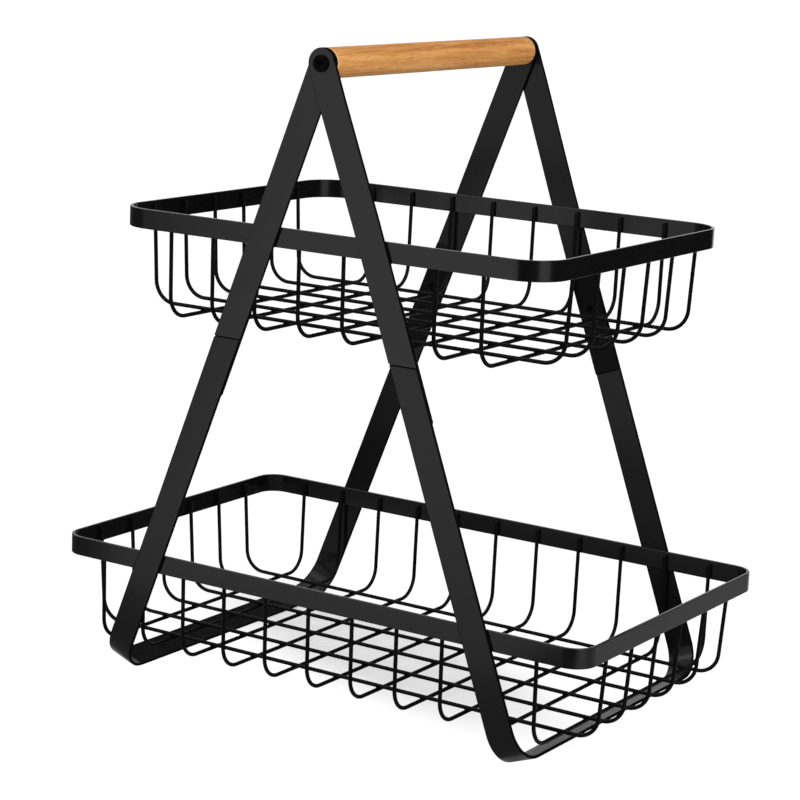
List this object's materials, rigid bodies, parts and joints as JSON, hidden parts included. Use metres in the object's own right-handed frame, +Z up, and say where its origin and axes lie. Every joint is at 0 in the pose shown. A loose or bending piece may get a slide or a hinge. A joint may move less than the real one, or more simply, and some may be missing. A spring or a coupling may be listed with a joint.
{
  "type": "tiered wire basket",
  "caption": "Two-tier carry basket: round-wire trays with flat band rims welded between leaning flat-bar legs that meet at a wooden bar handle.",
  "frame": {"origin": "on the floor, in the middle between the four feet", "axes": "+Z up; X along the baskets' long side; Y along the handle, front to rear"},
  "size_m": [0.4, 0.2526, 0.4245],
  "materials": {
    "black_coat": "satin black powder coat on flat steel bar",
    "black_wire": "satin black powder coat on round steel wire",
    "dark_fastener": "black-finished steel fasteners",
    "zinc_insert": "zinc-plated threaded sleeves",
    "beech": "clear-oiled turned beech"
  },
  "bodies": {
    "root": {"upper_leg_front_left": "black_coat", "upper_leg_front_right": "black_coat", "upper_leg_rear_left": "black_coat", "upper_leg_rear_right": "black_coat", "lower_frame_left": "black_coat", "lower_frame_right": "black_coat", "joining_tongue_front_left": "black_coat", "joining_tongue_front_right": "black_coat", "joining_tongue_rear_left": "black_coat", "joining_tongue_rear_right": "black_coat", "upper_rim": "black_coat", "lower_rim": "black_coat", "upper_cross_wire_1": "black_wire", "upper_cross_wire_2": "black_wire", "upper_cross_wire_3": "black_wire", "upper_cross_wire_4": "black_wire", "upper_cross_wire_5": "black_wire", "upper_cross_wire_6": "black_wire", "upper_cross_wire_7": "black_wire", "upper_cross_wire_8": "black_wire", "upper_long_wire_1": "black_wire", "upper_long_wire_2": "black_wire", "upper_long_wire_3": "black_wire", "upper_long_wire_4": "black_wire", "upper_long_wire_5": "black_wire", "upper_long_wire_6": "black_wire", "lower_cross_wire_1": "black_wire", "lower_cross_wire_2": "black_wire", "lower_cross_wire_3": "black_wire", "lower_cross_wire_4": "black_wire", "lower_cross_wire_5": "black_wire", "lower_cross_wire_6": "black_wire", "lower_cross_wire_7": "black_wire", "lower_cross_wire_8": "black_wire", "lower_cross_wire_9": "black_wire", "lower_cross_wire_10": "black_wire", "lower_cross_wire_11": "black_wire", "lower_long_wire_1": "black_wire", "lower_long_wire_2": "black_wire", "lower_long_wire_3": "black_wire", "lower_long_wire_4": "black_wire", "lower_long_wire_5": "black_wire", "lower_long_wire_6": "black_wire", "tongue_screws": "dark_fastener", "handle_bolts": "dark_fastener", "handle_inserts": "zinc_insert", "handle_grip": "beech"}
  },
  "joints": []
}
